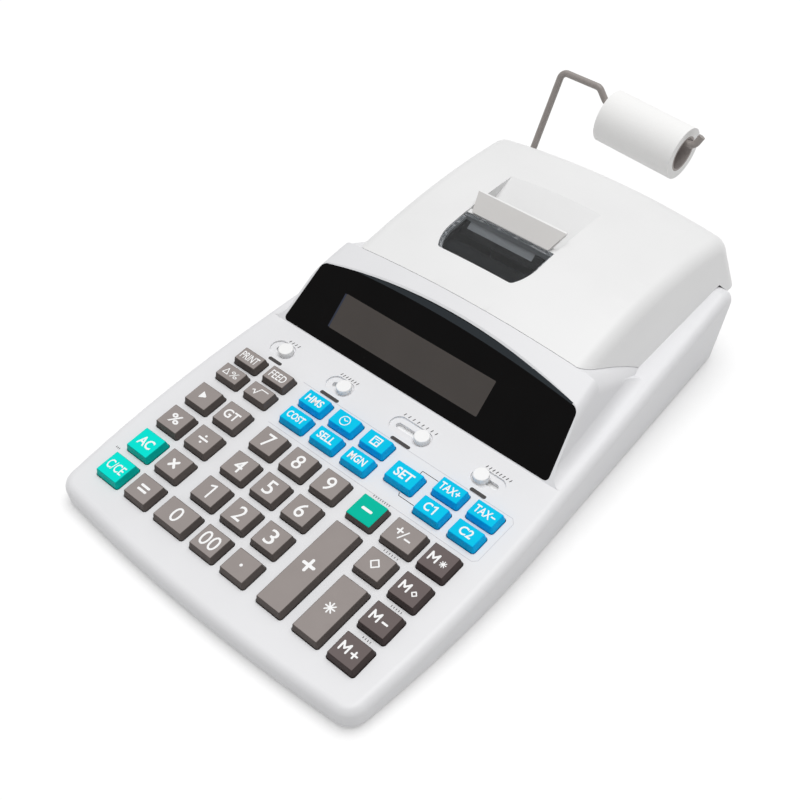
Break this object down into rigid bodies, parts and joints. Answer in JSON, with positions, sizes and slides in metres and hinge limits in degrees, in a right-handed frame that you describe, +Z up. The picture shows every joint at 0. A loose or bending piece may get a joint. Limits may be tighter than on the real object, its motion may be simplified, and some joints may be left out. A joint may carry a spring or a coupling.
{
  "type": "printing desk calculator",
  "caption": "Wedge-shaped desk calculator with a tilted keypad, slanted black display, domed printer cover with tear bar, and a wire arm holding a paper roll.",
  "frame": {"origin": "centre of the whole footprint, arm and roll included, at desk level", "axes": "X across the keys to the right, Y from the front edge to the rear, Z up"},
  "size_m": [0.196, 0.353, 0.0993],
  "materials": {
    "case_white": "fine satin texture, cool white",
    "case_base": "satin, light grey",
    "smoked_plastic": "clear smoked window with a light tear bar",
    "lens_black": "gloss black",
    "board_green": "solder-masked board",
    "mat_rubber": "silicone",
    "printer_frame": "moulded grey",
    "platen_rubber": "ground black rubber",
    "arm_wire": "grey coated wire",
    "paper_white": "uncoated white paper",
    "foot_rubber": "dark rubber round a steel screw",
    "knob_white": "satin white",
    "key_grey": "satin warm grey",
    "key_dark": "satin dark grey",
    "key_blue": "satin bright blue",
    "key_turquoise": "satin turquoise",
    "key_green": "satin green top"
  },
  "bodies": {
    "case": {"lower_case": "case_base", "upper_case": "case_white", "display_lens": "lens_black", "circuit_boards": "board_green", "key_mat": "mat_rubber", "printer_mechanism": "printer_frame", "screw_feet": "foot_rubber"},
    "cover": {"printer_cover": "case_white", "tear_window": "smoked_plastic"},
    "platen": {"platen_roller": "platen_rubber"},
    "arm": {"paper_arm": "arm_wire"},
    "roll": {"paper_roll": "paper_white"},
    "power_switch_knob": {"power_switch_knob": "knob_white"},
    "rounding_switch_knob": {"rounding_switch_knob": "knob_white"},
    "decimal_switch_knob": {"decimal_switch_knob": "knob_white"},
    "rate_switch_knob": {"rate_switch_knob": "knob_white"},
    "key_print": {"key_print": "key_grey"},
    "key_feed": {"key_feed": "key_grey"},
    "key_percent_change": {"key_percent_change": "key_grey"},
    "key_root": {"key_root": "key_grey"},
    "key_arrow": {"key_arrow": "key_grey"},
    "key_grand_total": {"key_grand_total": "key_grey"},
    "key_percent": {"key_percent": "key_grey"},
    "key_divide": {"key_divide": "key_grey"},
    "key_all_clear": {"key_all_clear": "key_turquoise"},
    "key_multiply": {"key_multiply": "key_grey"},
    "key_clear_entry": {"key_clear_entry": "key_turquoise"},
    "key_equals": {"key_equals": "key_grey"},
    "key_time": {"key_time": "key_blue"},
    "key_clock": {"key_clock": "key_blue"},
    "key_calendar": {"key_calendar": "key_blue"},
    "key_cost": {"key_cost": "key_blue"},
    "key_sell": {"key_sell": "key_blue"},
    "key_margin": {"key_margin": "key_blue"},
    "key_00": {"key_00": "key_grey"},
    "key_point": {"key_point": "key_grey"},
    "key_set": {"key_set": "key_blue"},
    "key_minus": {"key_minus": "key_green"},
    "key_plus": {"key_plus": "key_grey"},
    "key_tax_plus": {"key_tax_plus": "key_blue"},
    "key_tax_minus": {"key_tax_minus": "key_blue"},
    "key_rate_1": {"key_rate_1": "key_blue"},
    "key_rate_2": {"key_rate_2": "key_blue"},
    "key_sign": {"key_sign": "key_grey"},
    "key_subtotal": {"key_subtotal": "key_grey"},
    "key_total": {"key_total": "key_grey"},
    "key_memory_total": {"key_memory_total": "key_dark"},
    "key_memory_subtotal": {"key_memory_subtotal": "key_dark"},
    "key_memory_minus": {"key_memory_minus": "key_dark"},
    "key_memory_plus": {"key_memory_plus": "key_dark"},
    "key_0": {"key_0": "key_grey"},
    "key_1": {"key_1": "key_grey"},
    "key_2": {"key_2": "key_grey"},
    "key_3": {"key_3": "key_grey"},
    "key_4": {"key_4": "key_grey"},
    "key_5": {"key_5": "key_grey"},
    "key_6": {"key_6": "key_grey"},
    "key_7": {"key_7": "key_grey"},
    "key_8": {"key_8": "key_grey"},
    "key_9": {"key_9": "key_grey"}
  },
  "joints": [
    {"name": "cover_lift", "type": "slide", "parent": "case", "child": "cover", "axis": [0, 0, 1], "range_m": [0, 0.03]},
    {"name": "platen_spin", "type": "hinge", "parent": "case", "child": "platen", "pos_m": [-0.0105, 0.03871, 0.055], "axis": [1, 0, 0], "continuous": true},
    {"name": "arm_unplug", "type": "slide", "parent": "case", "child": "arm", "axis": [0, 1, 0], "range_m": [0, 0.013]},
    {"name": "roll_spin", "type": "hinge", "parent": "arm", "child": "roll", "pos_m": [-0.00288, 0.1619, 0.08234], "axis": [0.9969, 0, -0.0785], "continuous": true},
    {"name": "power_switch_slide", "type": "slide", "parent": "case", "child": "power_switch_knob", "axis": [1, 0, 0], "range_m": [-0.005, 0]},
    {"name": "rounding_switch_slide", "type": "slide", "parent": "case", "child": "rounding_switch_knob", "axis": [1, 0, 0], "range_m": [-0.006, 0]},
    {"name": "decimal_switch_slide", "type": "slide", "parent": "case", "child": "decimal_switch_knob", "axis": [1, 0, 0], "range_m": [-0.0145, 0]},
    {"name": "rate_switch_slide", "type": "slide", "parent": "case", "child": "rate_switch_knob", "axis": [1, 0, 0], "range_m": [0, 0.008]},
    {"name": "key_print_press", "type": "slide", "parent": "case", "child": "key_print", "axis": [0, 0.1219, -0.9925], "range_m": [0, 0.0024], "stiffness_N_per_m": 200, "springref_m": -0.0024, "deforming": ["key_mat"]},
    {"name": "key_feed_press", "type": "slide", "parent": "case", "child": "key_feed", "axis": [0, 0.1219, -0.9925], "range_m": [0, 0.0024], "stiffness_N_per_m": 200, "springref_m": -0.0024, "deforming": ["key_mat"]},
    {"name": "key_percent_change_press", "type": "slide", "parent": "case", "child": "key_percent_change", "axis": [0, 0.1219, -0.9925], "range_m": [0, 0.0024], "stiffness_N_per_m": 200, "springref_m": -0.0024, "deforming": ["key_mat"]},
    {"name": "key_root_press", "type": "slide", "parent": "case", "child": "key_root", "axis": [0, 0.1219, -0.9925], "range_m": [0, 0.0024], "stiffness_N_per_m": 200, "springref_m": -0.0024, "deforming": ["key_mat"]},
    {"name": "key_arrow_press", "type": "slide", "parent": "case", "child": "key_arrow", "axis": [0, 0.1219, -0.9925], "range_m": [0, 0.0024], "stiffness_N_per_m": 200, "springref_m": -0.0024, "deforming": ["key_mat"]},
    {"name": "key_grand_total_press", "type": "slide", "parent": "case", "child": "key_grand_total", "axis": [0, 0.1219, -0.9925], "range_m": [0, 0.0024], "stiffness_N_per_m": 200, "springref_m": -0.0024, "deforming": ["key_mat"]},
    {"name": "key_percent_press", "type": "slide", "parent": "case", "child": "key_percent", "axis": [0, 0.1219, -0.9925], "range_m": [0, 0.0024], "stiffness_N_per_m": 200, "springref_m": -0.0024, "deforming": ["key_mat"]},
    {"name": "key_divide_press", "type": "slide", "parent": "case", "child": "key_divide", "axis": [0, 0.1219, -0.9925], "range_m": [0, 0.0024], "stiffness_N_per_m": 200, "springref_m": -0.0024, "deforming": ["key_mat"]},
    {"name": "key_all_clear_press", "type": "slide", "parent": "case", "child": "key_all_clear", "axis": [0, 0.1219, -0.9925], "range_m": [0, 0.0024], "stiffness_N_per_m": 200, "springref_m": -0.0024, "deforming": ["key_mat"]},
    {"name": "key_multiply_press", "type": "slide", "parent": "case", "child": "key_multiply", "axis": [0, 0.1219, -0.9925], "range_m": [0, 0.0024], "stiffness_N_per_m": 200, "springref_m": -0.0024, "deforming": ["key_mat"]},
    {"name": "key_clear_entry_press", "type": "slide", "parent": "case", "child": "key_clear_entry", "axis": [0, 0.1219, -0.9925], "range_m": [0, 0.0024], "stiffness_N_per_m": 200, "springref_m": -0.0024, "deforming": ["key_mat"]},
    {"name": "key_equals_press", "type": "slide", "parent": "case", "child": "key_equals", "axis": [0, 0.1219, -0.9925], "range_m": [0, 0.0024], "stiffness_N_per_m": 200, "springref_m": -0.0024, "deforming": ["key_mat"]},
    {"name": "key_time_press", "type": "slide", "parent": "case", "child": "key_time", "axis": [0, 0.1219, -0.9925], "range_m": [0, 0.0024], "stiffness_N_per_m": 200, "springref_m": -0.0024, "deforming": ["key_mat"]},
    {"name": "key_clock_press", "type": "slide", "parent": "case", "child": "key_clock", "axis": [0, 0.1219, -0.9925], "range_m": [0, 0.0024], "stiffness_N_per_m": 200, "springref_m": -0.0024, "deforming": ["key_mat"]},
    {"name": "key_calendar_press", "type": "slide", "parent": "case", "child": "key_calendar", "axis": [0, 0.1219, -0.9925], "range_m": [0, 0.0024], "stiffness_N_per_m": 200, "springref_m": -0.0024, "deforming": ["key_mat"]},
    {"name": "key_cost_press", "type": "slide", "parent": "case", "child": "key_cost", "axis": [0, 0.1219, -0.9925], "range_m": [0, 0.0024], "stiffness_N_per_m": 200, "springref_m": -0.0024, "deforming": ["key_mat"]},
    {"name": "key_sell_press", "type": "slide", "parent": "case", "child": "key_sell", "axis": [0, 0.1219, -0.9925], "range_m": [0, 0.0024], "stiffness_N_per_m": 200, "springref_m": -0.0024, "deforming": ["key_mat"]},
    {"name": "key_margin_press", "type": "slide", "parent": "case", "child": "key_margin", "axis": [0, 0.1219, -0.9925], "range_m": [0, 0.0024], "stiffness_N_per_m": 200, "springref_m": -0.0024, "deforming": ["key_mat"]},
    {"name": "key_00_press", "type": "slide", "parent": "case", "child": "key_00", "axis": [0, 0.1219, -0.9925], "range_m": [0, 0.0024], "stiffness_N_per_m": 200, "springref_m": -0.0024, "deforming": ["key_mat"]},
    {"name": "key_point_press", "type": "slide", "parent": "case", "child": "key_point", "axis": [0, 0.1219, -0.9925], "range_m": [0, 0.0024], "stiffness_N_per_m": 200, "springref_m": -0.0024, "deforming": ["key_mat"]},
    {"name": "key_set_press", "type": "slide", "parent": "case", "child": "key_set", "axis": [0, 0.1219, -0.9925], "range_m": [0, 0.0024], "stiffness_N_per_m": 200, "springref_m": -0.0024, "deforming": ["key_mat"]},
    {"name": "key_minus_press", "type": "slide", "parent": "case", "child": "key_minus", "axis": [0, 0.1219, -0.9925], "range_m": [0, 0.0024], "stiffness_N_per_m": 200, "springref_m": -0.0024, "deforming": ["key_mat"]},
    {"name": "key_plus_press", "type": "slide", "parent": "case", "child": "key_plus", "axis": [0, 0.1219, -0.9925], "range_m": [0, 0.0024], "stiffness_N_per_m": 200, "springref_m": -0.0024, "deforming": ["key_mat"]},
    {"name": "key_tax_plus_press", "type": "slide", "parent": "case", "child": "key_tax_plus", "axis": [0, 0.1219, -0.9925], "range_m": [0, 0.0024], "stiffness_N_per_m": 200, "springref_m": -0.0024, "deforming": ["key_mat"]},
    {"name": "key_tax_minus_press", "type": "slide", "parent": "case", "child": "key_tax_minus", "axis": [0, 0.1219, -0.9925], "range_m": [0, 0.0024], "stiffness_N_per_m": 200, "springref_m": -0.0024, "deforming": ["key_mat"]},
    {"name": "key_rate_1_press", "type": "slide", "parent": "case", "child": "key_rate_1", "axis": [0, 0.1219, -0.9925], "range_m": [0, 0.0024], "stiffness_N_per_m": 200, "springref_m": -0.0024, "deforming": ["key_mat"]},
    {"name": "key_rate_2_press", "type": "slide", "parent": "case", "child": "key_rate_2", "axis": [0, 0.1219, -0.9925], "range_m": [0, 0.0024], "stiffness_N_per_m": 200, "springref_m": -0.0024, "deforming": ["key_mat"]},
    {"name": "key_sign_press", "type": "slide", "parent": "case", "child": "key_sign", "axis": [0, 0.1219, -0.9925], "range_m": [0, 0.0024], "stiffness_N_per_m": 200, "springref_m": -0.0024, "deforming": ["key_mat"]},
    {"name": "key_subtotal_press", "type": "slide", "parent": "case", "child": "key_subtotal", "axis": [0, 0.1219, -0.9925], "range_m": [0, 0.0024], "stiffness_N_per_m": 200, "springref_m": -0.0024, "deforming": ["key_mat"]},
    {"name": "key_total_press", "type": "slide", "parent": "case", "child": "key_total", "axis": [0, 0.1219, -0.9925], "range_m": [0, 0.0024], "stiffness_N_per_m": 200, "springref_m": -0.0024, "deforming": ["key_mat"]},
    {"name": "key_memory_total_press", "type": "slide", "parent": "case", "child": "key_memory_total", "axis": [0, 0.1219, -0.9925], "range_m": [0, 0.0024], "stiffness_N_per_m": 200, "springref_m": -0.0024, "deforming": ["key_mat"]},
    {"name": "key_memory_subtotal_press", "type": "slide", "parent": "case", "child": "key_memory_subtotal", "axis": [0, 0.1219, -0.9925], "range_m": [0, 0.0024], "stiffness_N_per_m": 200, "springref_m": -0.0024, "deforming": ["key_mat"]},
    {"name": "key_memory_minus_press", "type": "slide", "parent": "case", "child": "key_memory_minus", "axis": [0, 0.1219, -0.9925], "range_m": [0, 0.0024], "stiffness_N_per_m": 200, "springref_m": -0.0024, "deforming": ["key_mat"]},
    {"name": "key_memory_plus_press", "type": "slide", "parent": "case", "child": "key_memory_plus", "axis": [0, 0.1219, -0.9925], "range_m": [0, 0.0024], "stiffness_N_per_m": 200, "springref_m": -0.0024, "deforming": ["key_mat"]},
    {"name": "key_0_press", "type": "slide", "parent": "case", "child": "key_0", "axis": [0, 0.1219, -0.9925], "range_m": [0, 0.0024], "stiffness_N_per_m": 200, "springref_m": -0.0024, "deforming": ["key_mat"]},
    {"name": "key_1_press", "type": "slide", "parent": "case", "child": "key_1", "axis": [0, 0.1219, -0.9925], "range_m": [0, 0.0024], "stiffness_N_per_m": 200, "springref_m": -0.0024, "deforming": ["key_mat"]},
    {"name": "key_2_press", "type": "slide", "parent": "case", "child": "key_2", "axis": [0, 0.1219, -0.9925], "range_m": [0, 0.0024], "stiffness_N_per_m": 200, "springref_m": -0.0024, "deforming": ["key_mat"]},
    {"name": "key_3_press", "type": "slide", "parent": "case", "child": "key_3", "axis": [0, 0.1219, -0.9925], "range_m": [0, 0.0024], "stiffness_N_per_m": 200, "springref_m": -0.0024, "deforming": ["key_mat"]},
    {"name": "key_4_press", "type": "slide", "parent": "case", "child": "key_4", "axis": [0, 0.1219, -0.9925], "range_m": [0, 0.0024], "stiffness_N_per_m": 200, "springref_m": -0.0024, "deforming": ["key_mat"]},
    {"name": "key_5_press", "type": "slide", "parent": "case", "child": "key_5", "axis": [0, 0.1219, -0.9925], "range_m": [0, 0.0024], "stiffness_N_per_m": 200, "springref_m": -0.0024, "deforming": ["key_mat"]},
    {"name": "key_6_press", "type": "slide", "parent": "case", "child": "key_6", "axis": [0, 0.1219, -0.9925], "range_m": [0, 0.0024], "stiffness_N_per_m": 200, "springref_m": -0.0024, "deforming": ["key_mat"]},
    {"name": "key_7_press", "type": "slide", "parent": "case", "child": "key_7", "axis": [0, 0.1219, -0.9925], "range_m": [0, 0.0024], "stiffness_N_per_m": 200, "springref_m": -0.0024, "deforming": ["key_mat"]},
    {"name": "key_8_press", "type": "slide", "parent": "case", "child": "key_8", "axis": [0, 0.1219, -0.9925], "range_m": [0, 0.0024], "stiffness_N_per_m": 200, "springref_m": -0.0024, "deforming": ["key_mat"]},
    {"name": "key_9_press", "type": "slide", "parent": "case", "child": "key_9", "axis": [0, 0.1219, -0.9925], "range_m": [0, 0.0024], "stiffness_N_per_m": 200, "springref_m": -0.0024, "deforming": ["key_mat"]}
  ]
}
